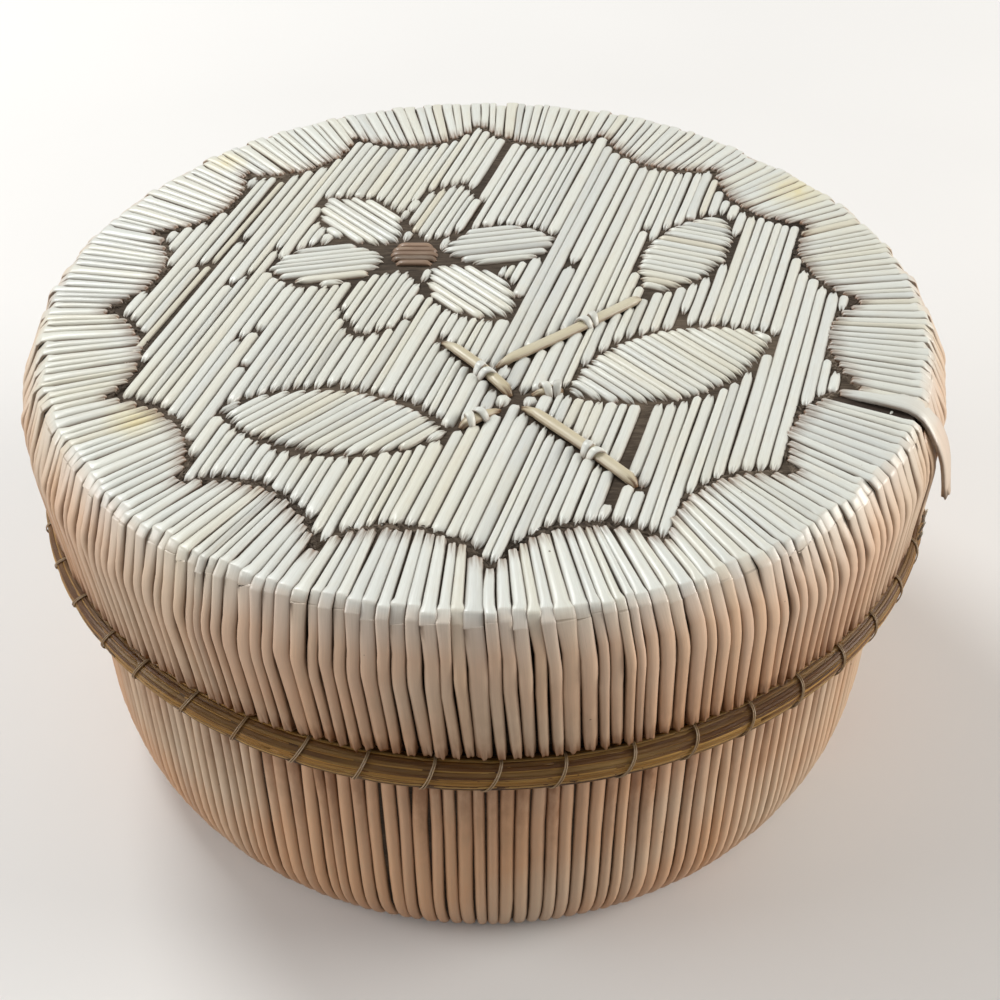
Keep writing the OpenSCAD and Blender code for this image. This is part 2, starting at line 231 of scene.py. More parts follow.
class Bundle:
    """Quills, blades or threads that share one mesh, each a closed tube along its crown line."""
    KEYS = ("tone", "along", "across", "tip", "warm", "stain", "crease", "pleat_shade")
    CREASE_DEPTH = 0.1
    UNDERSIDE = 0.6  # exponent of the cross-section below its middle
    PLEAT_WAVES, PLEAT_SHIFT = 5, 17

    def __init__(self):
        self.verts, self.faces, self.count = [], [], 0
        self.attrs = {k: [] for k in self.KEYS}

    def add(self, path, up, width, height, tone, sides=14, box=0.9, tip=0, warm=0, stain=0,
            crease=0, pleats=0.0, sink=1.0, twist=0.0):
        """One tube. path is its crown line and up its normals. box shapes the cross-section: 1 is
        an ellipse, less is squarer. pleats folds the tip. sink 1 puts the tube under the line, 0.5
        round it."""
        path = np.asarray(path, float)
        n = len(path)
        tangent = unit(np.gradient(path, axis=0))
        up = np.broadcast_to(np.asarray(up, float), (n, 3))
        up = unit(up - tangent * np.sum(up * tangent, axis=1, keepdims=True))
        side = np.cross(tangent, up)
        width, height, box, tip, warm, stain, crease = (
            np.broadcast_to(np.asarray(v, float), (n,))
            for v in (width, height, box, tip, warm, stain, crease))
        path = path - up * self.CREASE_DEPTH * crease[:, None]
        angle = np.arange(sides) * 2 * math.pi / sides + math.pi / sides
        c, s = np.cos(angle), np.sin(angle)
        x = np.sign(c) * np.abs(c) ** box[:, None]
        y = np.where(s > 0, np.abs(s) ** box[:, None], -np.abs(s) ** self.UNDERSIDE)
        wave_round = np.cos(self.PLEAT_WAVES * angle[None, :] + self.PLEAT_SHIFT * tone)
        fold = 1 + pleats * tip[:, None] * wave_round
        px = x * width[:, None] / 2 * fold
        py = (y * fold / 2 - (sink - 0.5)) * height[:, None]
        if twist:
            py = py + twist * np.linspace(-1, 1, n)[:, None] * px
        ring = path[:, None, :] + side[:, None, :] * px[..., None] + up[:, None, :] * py[..., None]
        self.verts.append(ring.reshape(-1, 3))
        base = self.count
        for i in range(n - 1):
            a, b = base + i * sides, base + (i + 1) * sides
            for k in range(sides):
                k2 = (k + 1) % sides
                self.faces.append((a + k, b + k, b + k2, a + k2))
        self.faces.append(tuple(range(base, base + sides)))
        last = base + (n - 1) * sides
        self.faces.append(tuple(range(last + sides - 1, last - 1, -1)))
        self.count += n * sides
        steps = np.linalg.norm(np.diff(path, axis=0), axis=1)
        along = np.concatenate([[0], np.cumsum(steps)])
        for key, v in (("tone", np.full(n, tone)), ("along", along), ("tip", tip),
                       ("warm", warm), ("stain", stain), ("crease", crease)):
            self.attrs[key].append(np.repeat(v, sides))
        self.attrs["across"].append(np.tile(c, n))
        # Painted shade in the troughs of the pleated tip.
        pleat_shade = tip[:, None] * (0.5 - 0.5 * wave_round) * (pleats > 0)
        self.attrs["pleat_shade"].append(pleat_shade.ravel())

    def make(self, name, material, body, slot, nodes=()):
        return piece(name, np.concatenate(self.verts), self.faces, material, body, nodes,
                     {k: np.concatenate(v) for k, v in self.attrs.items()})


STATION_STEP, STATION_GAP = 2.6, 0.02  # furthest and nearest that stations lie apart
ARC_PARTS, ARC_SPAN = 4, 0.1  # parts of a rounded corner, and how much of the place it spans
CUT_SHARE = 0.45  # the most that a corner may take of the lines beside it


def rounded(points, radii):
    """Stations along a run of points with rounded corners, and their place along it in points."""
    points = [np.array(p, float) for p in points]
    out, knots = [points[0]], [0.0]
    for i in range(1, len(points) - 1):
        a, p, b = points[i - 1], points[i], points[i + 1]
        u, v = a - p, b - p
        lu, lv = np.linalg.norm(u), np.linalg.norm(v)
        bend = math.pi - math.acos(np.clip(u @ v / lu / lv, -1, 1))
        cut = min(radii[i] * math.tan(bend / 2), CUT_SHARE * lu, CUT_SHARE * lv)
        s, e = p + u / lu * cut, p + v / lv * cut
        for t in np.linspace(0, 1, ARC_PARTS + 1):
            out.append((1 - t) ** 2 * s + 2 * t * (1 - t) * p + t * t * e)
            knots.append(i + (t - 0.5) * ARC_SPAN)
    out.append(points[-1])
    knots.append(len(points) - 1.0)
    dense, marks = [out[0]], [knots[0]]
    for i in range(1, len(out)):
        parts = max(1, math.ceil(np.linalg.norm(out[i] - out[i - 1]) / STATION_STEP))
        for t in np.arange(1, parts + 1) / parts:
            dense.append(out[i - 1] + t * (out[i] - out[i - 1]))
            marks.append(knots[i - 1] + t * (knots[i] - knots[i - 1]))
    dense = np.array(dense)
    apart = np.append(True, np.linalg.norm(np.diff(dense, axis=0), axis=1) > STATION_GAP)
    return dense[apart], np.array(marks)[apart]


def around(run, turn):
    """Points and normals of an (r, z) run at angles, one for each station."""
    d = unit(np.gradient(run, axis=0))
    e = spokes(turn)
    path = e * run[:, :1]
    path[:, 2] = run[:, 1]
    up = e * -d[:, 1:2]
    up[:, 2] = d[:, 0]
    return path, up


# ---- Materials ----
class Graph:
    """A node material, built with short calls."""
    MIX_SOCKETS = (0, 6, 7)  # factor and the two colours of a colour mix

    def __init__(self, name):
        self.material = bpy.data.materials.new(name)
        self.material.use_nodes = True
        self.nodes, self.links = self.material.node_tree.nodes, self.material.node_tree.links
        self.nodes.clear()
        self.shader = self.nodes.new("ShaderNodeBsdfPrincipled")
        out = self.nodes.new("ShaderNodeOutputMaterial")
        self.links.new(self.shader.outputs[0], out.inputs["Surface"])

    def node(self, kind, inputs=None, **props):
        n = self.nodes.new("ShaderNode" + kind)
        for k, v in props.items():
            setattr(n, k, v)
        for k, v in (inputs or {}).items():
            if isinstance(v, bpy.types.NodeSocket):
                self.links.new(v, n.inputs[k])
            else:
                n.inputs[k].default_value = v
        return n

    def attr(self, name):
        return self.node("Attribute", attribute_name=name).outputs["Fac"]

    def math(self, operation, a, b=0.0, c=0.0, clamp=False):
        node = self.node("Math", {0: a, 1: b, 2: c}, operation=operation, use_clamp=clamp)
        return node.outputs[0]

    def plus(self, a, b):
        return self.math("ADD", a, b)

    def times(self, a, b, clamp=False):
        return self.math("MULTIPLY", a, b, clamp=clamp)

    def steps(self, value, low, high, out_low=0.0, out_high=1.0):
        return self.node("MapRange", {"Value": value, "From Min": low, "From Max": high,
                                      "To Min": out_low, "To Max": out_high}).outputs["Result"]

    def noise(self, vector, scale, detail=3.0, rough=0.55):
        return self.node("TexNoise", {"Vector": vector, "Scale": scale, "Detail": detail,
                                      "Roughness": rough}).outputs["Fac"]

    def spots(self, vector, scale):
        return self.node("TexVoronoi", {"Vector": vector, "Scale": scale,
                                        "Randomness": 1.0}).outputs["Distance"]

    def vector(self, x, y, z):
        return self.node("CombineXYZ", {0: x, 1: y, 2: z}).outputs[0]

    def length(self, vector):
        return self.node("VectorMath", {0: vector}, operation="LENGTH").outputs["Value"]

    def mapped(self, vector, **inputs):
        return self.node("Mapping", {"Vector": vector, **inputs}).outputs[0]

    def place(self):
        return self.node("TexCoord").outputs["Object"]

    def streaks(self, across, along, seed, scale, detail):
        """Noise that runs along a quill; across and along are (socket, factor) pairs."""
        return self.noise(self.vector(self.times(*across), self.times(*along), seed), scale, detail)

    def ramp(self, value, stops):
        n = self.node("ValToRGB", {0: value})
        while len(n.color_ramp.elements) < len(stops):
            n.color_ramp.elements.new(0.5)
        for e, (pos, colour) in zip(n.color_ramp.elements, stops):
            e.position = pos
            e.color = (*colour, 1)
        return n.outputs[0]

    def mix(self, factor, a, b, blend="MIX"):
        n = self.node("Mix", data_type="RGBA", blend_type=blend)
        for index, v in zip(self.MIX_SOCKETS, (factor, a, b)):
            if isinstance(v, bpy.types.NodeSocket):
                self.links.new(v, n.inputs[index])
            else:
                n.inputs[index].default_value = v if isinstance(v, float) else (*v, 1)
        return n.outputs[2]

    def bump(self, height, distance, strength):
        """distance is in metres."""
        n = self.node("Bump", {"Height": height, "Distance": distance, "Strength": strength})
        return n.outputs[0]

    def set(self, **inputs):
        for k, v in inputs.items():
            socket = self.shader.inputs[k.replace("_", " ")]
            if isinstance(v, bpy.types.NodeSocket):
                self.links.new(v, socket)
            else:
                socket.default_value = v
        return self.material


# Colours laid over a quill's own tone. The gap colour is dirt and painted shade, the crack colour
# dirt and painted shade, the pleat colour painted shade, and the stain colour also paints the rim's
# shadow.
WEATHERED, AGED, CLOUDED = (0.75, 0.735, 0.60), (0.42, 0.36, 0.27), (0.62, 0.52, 0.36)
YELLOWED, DIRT_AND_SHADE, CRACK_DIRT_AND_SHADE = (0.80, 0.66, 0.26), (0.16, 0.09, 0.05), (0.30, 0.22, 0.14)
PINCHED, PLEAT_SHADE = (0.15, 0.10, 0.06), (0.13, 0.08, 0.045)
STAIN_AND_SHADOW, SPECKED = (0.25, 0.10, 0.033), (0.10, 0.06, 0.035)


def quill_material(name, tones, tan_and_bounce_colour, rough=0.36, yellowed=()):
    """Keratin: a tone for each quill, fine lengthwise lines, sides darkened by dirt and painted
    shade, browned ends that also paint the rim's shadow on the base, painted shade in cracks and
    pleats, and down the walls the quills' aged tan with a painted warm bounce.
    yellowed lists stains on the lid's top: x, y and radius."""
    g = Graph(name)
    tone, along, across = g.attr("tone"), g.attr("along"), g.attr("across")
    tip, warm, stain = g.attr("tip"), g.attr("warm"), g.attr("stain")
    seed = g.times(tone, 97.0)
    colour = g.ramp(tone, tones)
    # Down the walls the tone is multiplied to a tan: partly the quills' own aged tan, partly a
    # painted warm reflection of light bounced up onto the walls.
    colour = g.mix(warm, colour, g.mix(1.0, colour, tan_and_bounce_colour, "MULTIPLY"))
    fine = g.streaks((across, 4.2), (along, 0.1), seed, 2.4, 4.0)
    cast = g.noise(g.place(), 34.0, 2.0)
    colour = g.mix(g.steps(cast, 0.48, 0.68, 0.0, 0.45), colour, WEATHERED)
    colour = g.mix(g.steps(fine, 0.38, 0.72, 0.0, 0.2), colour, AGED)
    cloud = g.streaks((across, 0.5), (along, 0.2), seed, 1.3, 3.0)
    colour = g.mix(g.steps(cloud, 0.52, 0.8, 0.0, 0.22), colour, CLOUDED)
    for x, y, size in yellowed:
        away = g.node("VectorMath", {0: g.place(), 1: (x * MM, y * MM, TOP * MM)},
                      operation="SUBTRACT").outputs[0]
        patch = g.times(g.steps(g.length(away), size * MM, 0.0),
                        g.steps(cloud, 0.25, 0.6, 0.4, 1.0))
        colour = g.mix(g.times(patch, 0.6), colour, YELLOWED)
    # Darker towards each quill's sides: partly dirt in the gaps, partly painted shade where
    # neighbouring quills meet.
    dirt_and_shade = g.math("POWER", g.math("ABSOLUTE", across), 7.0)
    rough_dirt_and_shade = g.times(dirt_and_shade, g.steps(fine, 0.25, 0.6, 0.45, 0.95))
    colour = g.mix(rough_dirt_and_shade, colour, DIRT_AND_SHADE)
    # Crack lines across the fold: a dark line that is partly dirt in the crack, partly painted
    # shade in it.
    crack_dirt_and_shade = g.times(g.attr("crease"), g.steps(cloud, 0.35, 0.6, 0.25, 1.0))
    colour = g.mix(crack_dirt_and_shade, colour, CRACK_DIRT_AND_SHADE)
    folds = g.streaks((across, 2.4), (along, 0.2), seed, 2.0, 2.0)
    pinch = g.times(g.steps(tip, 0.1, 0.8), g.steps(folds, 0.5, 0.6))
    colour = g.mix(g.times(pinch, 0.6), colour, PINCHED)
    # Painted shade in the pleats' troughs.
    colour = g.mix(g.steps(g.attr("pleat_shade"), 0.22, 0.7, 0.0, 0.85), colour, PLEAT_SHADE)
    # Browned, stained ends; on the base quills' tops this also paints the rim's shadow.
    patchy = g.times(stain, g.steps(cloud, 0.3, 0.62, 0.45, 1.0), clamp=True)
    colour = g.mix(patchy, colour, STAIN_AND_SHADOW)
    dots = g.spots(g.place(), 420.0)
    few = g.noise(g.place(), 260.0, 1.0)
    ragged = g.plus(dots, g.steps(g.noise(g.place(), 5200.0, 2.0), 0.3, 0.7, -0.035, 0.035))
    speck = g.times(g.steps(ragged, 0.06, 0.035), g.math("GREATER_THAN", few, 0.63))
    colour = g.mix(g.times(speck, 0.75), colour, SPECKED)
    lines = g.streaks((across, 9.0), (along, 0.06), seed, 2.0, 2.0)
    height = g.plus(g.times(lines, 0.25), g.times(g.times(tip, folds), 1.8))
    height = g.plus(height, g.times(g.noise(g.place(), 900.0, 2.0), 0.35))
    normal = g.bump(height, 0.00006, 0.9)
    gloss = g.plus(g.steps(cloud, 0.3, 0.7, rough - 0.07, rough + 0.1), g.times(dirt_and_shade, 0.3))
    return g.set(Base_Color=colour, Roughness=gloss, Normal=normal, Coat_Weight=0.25,
                 Coat_Roughness=0.2)


CREAM = [(0.0, (0.55, 0.565, 0.535)), (0.25, (0.69, 0.715, 0.68)), (0.55, (0.77, 0.795, 0.745)),
         (0.8, (0.75, 0.75, 0.66)), (1.0, (0.71, 0.68, 0.56))]
TAN = [(0.0, (0.52, 0.45, 0.29)), (0.5, (0.60, 0.54, 0.38)), (1.0, (0.50, 0.38, 0.22))]
BROWN = [(0.0, (0.11, 0.06, 0.035)), (0.5, (0.17, 0.09, 0.05)), (1.0, (0.26, 0.15, 0.09))]
natural = quill_material("quill_natural", CREAM, (1.0, 0.575, 0.345),
                         yellowed=((-41.8, -25.4, 4.5), (45.6, 29.7, 6.0), (-40.0, 38.0, 4.0)))
tan = quill_material("quill_tan", TAN, (0.84, 0.60, 0.42), 0.42)
brown = quill_material("quill_brown", BROWN, (0.84, 0.60, 0.42), 0.4)

SLIT_NEAR, SLIT_FAR = 0.9 * MM, 1.6 * MM  # metres, from the middle of the slit
SLIT_FROM, SLIT_TO = 45 * MM, 50 * MM  # metres, from the axis, over which its shade sets in
SLIT_SHADE = (0.02, 0.009, 0.005)


def bark_material(name, dark, mid, light, rough, slit=None):
    """Birch bark: thin layers, fibres across the height, short dark lenticels. slit is the angle,
    in radians, at which the bark is dark between two border quills."""
    g = Graph(name)
    p = g.place()
    broad = g.noise(g.mapped(p, Scale=(1.0, 1.0, 6.0)), 42.0, 5.0, 0.6)
    fibre = g.noise(g.mapped(p, Scale=(1.0, 6.0, 14.0)), 330.0, 6.0, 0.7)
    colour = g.ramp(g.plus(g.times(broad, 0.55), g.times(fibre, 0.45)),
                    [(0.34, dark), (0.5, mid), (0.68, light)])
    dash = g.spots(g.mapped(p, Scale=(0.35, 1.0, 3.0)), 150.0)
    mark = g.times(g.steps(dash, 0.16, 0.08), g.steps(broad, 0.42, 0.6))
    colour = g.mix(g.times(mark, 0.75), colour, tuple(c * 0.35 for c in dark))
    if slit is not None:
        turned = g.node("SeparateXYZ", {0: g.mapped(p, Rotation=(0, 0, -slit))}).outputs
        near = g.steps(g.math("ABSOLUTE", turned["Y"]), SLIT_FAR, SLIT_NEAR)
        shade = g.times(near, g.steps(turned["X"], SLIT_FROM, SLIT_TO, 0.0, 0.85))
        colour = g.mix(shade, colour, SLIT_SHADE)
    normal = g.bump(g.plus(fibre, g.times(mark, -0.5)), 0.00025, 0.8)
    gloss = g.steps(fibre, 0.3, 0.7, rough + 0.1, rough - 0.08)
    return g.set(Base_Color=colour, Roughness=gloss, Normal=normal)


outer_bark = bark_material(
    "bark_outer", (0.018, 0.012, 0.007), (0.07, 0.049, 0.031), (0.19, 0.145, 0.10), 0.85,
    slit=math.radians(START + (LOST + 0.5) * 360 / BORDER_COUNT))
torn_bark = bark_material(
    "bark_torn", (0.014, 0.009, 0.006), (0.105, 0.078, 0.054), (0.32, 0.255, 0.19), 0.9)
lining_bark = bark_material(
    "bark_lining", (0.30, 0.17, 0.085), (0.50, 0.32, 0.18), (0.63, 0.45, 0.28), 0.58)

GRASS = [(0.0, (0.05, 0.017, 0.003)), (0.25, (0.15, 0.057, 0.007)), (0.5, (0.27, 0.115, 0.014)),
         (0.75, (0.56, 0.30, 0.07)), (0.9, (0.62, 0.38, 0.13)), (1.0, (0.14, 0.058, 0.008))]


def grass_material():
    g = Graph("grass_blades")
    tone, along, across = g.attr("tone"), g.attr("along"), g.attr("across")
    seed = g.times(tone, 91.0)
    colour = g.ramp(tone, GRASS)
    lines = g.streaks((across, 2.6), (along, 0.035), seed, 2.6, 4.0)
    colour = g.mix(g.steps(lines, 0.46, 0.62, 0.0, 0.85), colour, (0.055, 0.02, 0.003))
    drift = g.noise(g.vector(0.0, g.times(along, 0.02), seed), 2.0, 2.0)
    colour = g.mix(g.steps(drift, 0.45, 0.7, 0.0, 0.4), colour, (0.58, 0.37, 0.11))
    normal = g.bump(lines, 0.00012, 0.9)
    return g.set(Base_Color=colour, Roughness=g.steps(lines, 0.3, 0.7, 0.3, 0.5), Normal=normal,
                 Specular_IOR_Level=0.3, Coat_Weight=0.12, Coat_Roughness=0.16)


def thread_material():
    g = Graph("thread_waxed")
    tone, along, across = g.attr("tone"), g.attr("along"), g.attr("across")
    ply = g.node("TexWave", {"Vector": g.vector(g.times(across, 0.4), g.times(along, 1.6), 0.0),
                             "Scale": 1.0, "Distortion": 0.6}).outputs["Fac"]
    colour = g.mix(ply, (0.22, 0.12, 0.05), (0.56, 0.38, 0.20))
    colour = g.mix(g.times(tone, 0.4), colour, (0.60, 0.50, 0.34))
    return g.set(Base_Color=colour, Roughness=0.38, Normal=g.bump(ply, 0.00004, 0.8),
                 Coat_Weight=0.3, Coat_Roughness=0.15)


grass, thread = grass_material(), thread_material()

# ---- Lid border: quills bent over the edge and down to the rim ----
# Places along a border quill: 0 in the bark, 1 on the scalloped line, 2 before the edge, 3 the
# fold, 4 the bow, 5 behind the rim, 7 its hidden end. The fold has two bends, and FOLD_PLACES puts
# the points of the run at these places.
FOLD_PLACES = (0, 1, 2, 2.96, 3.04, 4, 5, 6, 7)
CRACK_PLACE, CRACK_CHANCE = 3.039, 0.35
FOLD_REACH = (0.6, 1.5)  # least and greatest distance of its bends from the lid's edge
BORDER_LEAN = ((3, 0), (4, 0.48), (5, 1.25), (7, 1.4))  # degrees
BORDER_STRAY = ((0, 0.09), (1, 0.07), (2, 0.04), (3, 0.02), (4, 0.03), (5, 0.05), (7, 0.06))
BORDER_SHARE = ((0, 0.6), (0.9, 0.82), (1.2, 0.95), (2, 0.98), (2.8, 1.03), (3.05, 1.03),
                (3.9, 0.96), (3.99, 0.975), (4.06, 0.95), (4.5, 0.92), (4.88, 0.88),
                (4.95, 0.78), (5.02, 0.66), (5.4, 0.35))  # width as a share of its cell
BORDER_HEIGHT = ((0, 0.5), (1, 0.9), (2, 1.0), (2.8, 0.55), (3.1, 0.55), (3.6, 1.05), (4, 1.25),
                 (4.6, 1.35), (5, 1.3), (7, 0.7))
BORDER_BOX = ((0, 1.0), (2, 0.95), (2.9, 0.68), (3.1, 0.64), (3.8, 0.68), (4.05, 0.78),
              (4.6, 0.95))
# How far a border quill takes the wall tint: its own aged tan with a painted warm bounce.
BORDER_TAN_AND_BOUNCE = ((2.93, 0.0), (3.06, 0.38), (4.0, 0.76), (5.2, 1.0))
BORDER_TIP = ((0.9, 1), (1, 0.8), (1.12, 0.35), (1.3, 0), (4.82, 0), (4.93, 0.45), (5.0, 1))
LOOSE_STRAY = ((1, 0.05), (2, 0.18), (3, 0.45), (4, 0.6))
LOOSE_WIDTH = ((1, 1.05), (2, 1.3), (3, 2.1), (3.6, 2.7), (5, 2.5))
LOOSE_HEIGHT = ((0, 0.5), (1, 0.95), (2.5, 0.9), (3.6, 0.8), (5, 0.9))
# Bulges and dents of the lid's wall: size, angle, spread
BULGES = ((0.9, 3, 13), (-0.7, 42, 14), (0.3, 190, 20))

cells = START + shares(BORDER_COUNT, 0.18, [
    0, BORDER_QUARTER, LOST, LOOSE + 1, 2 * BORDER_QUARTER, 3 * BORDER_QUARTER,
    BORDER_COUNT]) * 360 / BORDER_COUNT
EDGE_WAVE, BOW_WAVE, KNEE_WAVE = (rng.uniform(-1, 1, 6) for _ in range(3))


def slow(turn, wave):
    """A slow wave round the box, between about -1 and 1."""
    return sum(wave[i] * math.sin(math.radians(turn) * (3 + 4 * i) + 5 * wave[i + 3])
               for i in range(3)) / 1.6


def border_quill(bundle, index, leg=None):
    """One quill of the border. leg is the run of the loose quill past the scalloped line."""
    turn, pitch = cell(cells, index)
    inner = border_radius(turn) + rng.normal(0, 0.16)
    drop = rng.uniform(-0.06, 0.08)
    bulge = sum(size * bell(turn, at, spread) for size, at, spread in BULGES)
    edge = EDGE_R + 0.28 * slow(turn, EDGE_WAVE) + rng.normal(0, 0.16) + 0.6 * bulge
    bow = BOW_R - 0.05 + 0.12 * slow(turn, BOW_WAVE) + rng.normal(0, 0.06) + bulge
    knee = TOP - BOW_DROP + 0.5 * slow(turn, KNEE_WAVE) + rng.normal(0, 0.3)
    crown = TOP - drop
    run = [(inner - 0.1, BARK - 0.5), (inner, TOP - 0.12 - drop), (edge - 3.2, crown + 0.04),
           (edge - rng.uniform(*FOLD_REACH), crown),
           (edge + 0.1, crown - rng.uniform(*FOLD_REACH)), (bow, knee)]
    radii = [0, 0.9, 60.0, rng.uniform(0.5, 1.0), rng.uniform(0.5, 1.2), rng.uniform(3, 14)]
    if leg:
        run, radii = run[:2] + leg, [0, 0.9, 30.0, 5.0, 14.0, 0]
    else:
        run += [(BARK_R + 2.9 + rng.normal(0, 0.1), RIM_HIGH + 1.5 + rng.normal(0, 0.2)),
                (BARK_R + 1.2, RIM_HIGH + 0.1), (BARK_R + 0.4, RIM_HIGH - 0.5)]
        radii += [0.9, 0.3, 0]
    stations, knot = rounded(run, radii)
    if not leg:
        knot = np.interp(knot, range(len(FOLD_PLACES)), FOLD_PLACES)
    lean = table(knot, BORDER_LEAN) * (leg is None)
    drift = stray(knot, BORDER_STRAY)
    if leg:
        drift = drift + table(knot, LOOSE_STRAY)
    path, up = around(stations, turn + drift * pitch + lean)
    share = table(knot, BORDER_SHARE, rng.normal(0, 0.02))
    share = share * (1 + rng.normal(0, 0.05) * bell_of(knot, 3.0, 0.45))
    width = np.radians(pitch) * stations[:, 0] * share * uneven(knot * 5, 0.025)
    height = table(knot, BORDER_HEIGHT)
    if leg:
        width = width * table(knot, LOOSE_WIDTH)
        height = table(knot, LOOSE_HEIGHT)
    warm = table(knot, BORDER_TAN_AND_BOUNCE)
    stain = table(knot, ((0.95, 0.9), (1, 0.5), (1.08, 0.15), (1.2, 0.0), (3.8, 0.0), (4.5, 0.2),
                         (4.86, rng.uniform(0.25, 0.6)), (4.95, 0.85), (5.0, 1.0)))
    cracked = rng.uniform(0.3, 0.9) if rng.random() < CRACK_CHANCE else 0.0
    crease = (np.abs(knot - CRACK_PLACE) < 0.002) * cracked
    if leg:
        stain, warm = stain * (knot < 2), warm * 0.6
    bundle.add(path, up, width, height, tone_of(), box=table(knot, BORDER_BOX),
               tip=table(knot, BORDER_TIP), warm=warm, stain=stain, crease=crease, sides=16,
               pleats=0.24)


for side, name in enumerate(SIDES):
    row = Bundle()
    for i in range(side * BORDER_QUARTER, (side + 1) * BORDER_QUARTER):
        if i not in (LOOSE, LOST):
            border_quill(row, i)
    row.make("border_" + name, natural, "lid", "natural_quill", ["border_quills_" + name])

row = Bundle()
border_quill(row, LOOSE, [(EDGE_R - 6.6, TOP + 0.25), (EDGE_R - 0.3, TOP + 0.35),
                          (EDGE_R + 3.8, TOP - 5.2), (EDGE_R + 5.3, TOP - 12.2)])
row.make("quill_loose", natural, "lid", "natural_quill", ["loose_quill"])

# The lost quill: what is left of it down the wall, and torn flakes, by the rim and in its slit
FLAKES, RIM_FLAKES, RIM_FLAKE_TURN = 8, 4, -23.5
row = Bundle()
turn, pitch = cell(cells, LOST)
stations, knot = rounded([(EDGE_R + 0.7, TOP - 2.2), (BOW_R + 0.2, TOP - BOW_DROP),
                          (BARK_R + 3.5, TOP - 17.0)], [0, 9.0, 0])
path, up = around(stations, turn + table(knot, ((0, 0.5), (2, 1.1))))
width = 1.5 * np.radians(pitch) * BOW_R * table(knot, ((0, 0.7), (0.5, 1.0), (1.9, 1.0), (2, 0.8)))
row.add(path, up, width, table(knot, ((0, 0.35), (1, 0.7), (2, 0.8))), 0.8, box=0.85,
        tip=table(knot, ((0, 1), (0.4, 0), (1.9, 0), (2, 1))), warm=0.75,
        stain=table(knot, ((0, 0.6), (0.5, 0.1), (1.6, 0.1), (2, 0.5))), pleats=0.2)
for flake in range(FLAKES):
    s = np.linspace(0, 1, 5)
    if flake < RIM_FLAKES:
        length = rng.uniform(1.2, 2.4)
        r = BARK_R + 3.5 + rng.uniform(0.2, 0.5) * s
        z = RIM_HIGH + 1.4 + 1.5 * flake + s * length
        at = RIM_FLAKE_TURN + rng.uniform(-0.8, 0.8)
    else:
        r = BARK_R - rng.uniform(0.5, 5.5) + 1.4 * s
        z = TOP - 1.0 + 0.5 * s ** 2 * rng.uniform(-1, 1)
        at = turn + rng.uniform(-0.4, 0.4)
    path, up = around(np.stack([r, z], axis=1), at + rng.uniform(-0.6, 0.6) * s)
    row.add(path, up, rng.uniform(0.9, 1.5) * np.array([0.4, 0.9, 1.0, 0.8, 0.3]), 0.25, 0.5,
            box=0.8)
row.make("quill_torn", natural, "lid", "natural_quill")

# ---- Base: quills laid down the wall and turned in at the foot ----
# Tables over the distance from a quill's upper end, and over the share of its length (BY_SHARE)
BASE_TUCK = ((0, 0.75), (0.4, 0.28), (1.4, 0))  # inwards
BASE_SHARE = ((0, 0.55), (0.5, 0.75), (1.6, 0.88), (6, 0.93), (30, 0.94), (40, 0.92))  # width
BASE_TIP = ((0, 1), (1.0, 0.7), (1.8, 0))
BASE_STRAY_BY_SHARE = ((0, 0.1), (0.3, 0.05), (0.7, 0.04), (1, 0.06))
BASE_HEIGHT_BY_SHARE = ((0, 0.8), (0.06, 1.4), (0.5, 1.55), (1, 1.3))
# Base quills take the wall tint throughout: their own aged tan with a painted warm bounce.
BASE_TAN_AND_BOUNCE_BY_SHARE = ((0, 0.9), (1, 1.0))
TURN_IN, LOWEST = 0.7, 0.12  # height at which a quill turns in under the foot, least height

cells_base = START + shares(BASE_COUNT, 0.11, [
    0, BASE_QUARTER, 2 * BASE_QUARTER, 3 * BASE_QUARTER, BASE_COUNT]) * 360 / BASE_COUNT
for side, name in enumerate(SIDES):
    row = Bundle()
    for i in range(side * BASE_QUARTER, (side + 1) * BASE_QUARTER):
        turn, pitch = cell(cells_base, i)
        low, high = 0.35 + rng.uniform(0, 0.25), BASE_TOP - rng.uniform(0.0, 0.7)
        z = np.concatenate([[high + 0.05, high - 0.35, high - 0.9, high - 1.8],
                            np.linspace(high - 3.2, 12, 7),
                            [9, 6.5, 4.4, 2.6, 1.3, 0.6, low - 0.3]])
        z = np.maximum(z, LOWEST)
        down = high - z
        u = down / (high - low)
        out = np.where(z < TURN_IN, -1.0 * (TURN_IN - z) / TURN_IN, 0) - table(down, BASE_TUCK)
        r = base_radius(z) + out - rng.uniform(0, 0.12)
        drift = stray(u, BASE_STRAY_BY_SHARE)
        path, up = around(np.stack([r, z], axis=1), turn + drift * pitch)
        width = (uneven(down + 0.05, 0.025) * np.radians(pitch) * base_radius(z)
                 * table(down, BASE_SHARE, rng.normal(0, 0.02)))
        # How far down each base quill darkens below the rim: its own amber stain, and painted
        # shadow of the rim.
        browned = rng.uniform(0.6, 1.0) if rng.random() < 0.55 else 0.3
        reach = rng.uniform(9.0, 19.0)
        stain = browned * table(down, ((0, 1.0), (4.0, 0.9), (0.5 * reach + 2, 0.6),
                                       (reach + 2, 0.22), (reach * 1.7, 0)))
        row.add(path, up, width, table(u, BASE_HEIGHT_BY_SHARE), tone_of(),
                box=rng.uniform(0.88, 1.0), tip=table(down, BASE_TIP),
                warm=table(u, BASE_TAN_AND_BOUNCE_BY_SHARE), stain=stain, pleats=0.12)
    row.make("base_wall_" + name, natural, "base", "natural_quill", ["base_quills_" + name])

# ---- Field: long quills cut by the shapes laid over the bark ----
SHORTEST, SHORTEST_IN_LEAF = 2.6, 2.2  # quills that would be shorter are left out


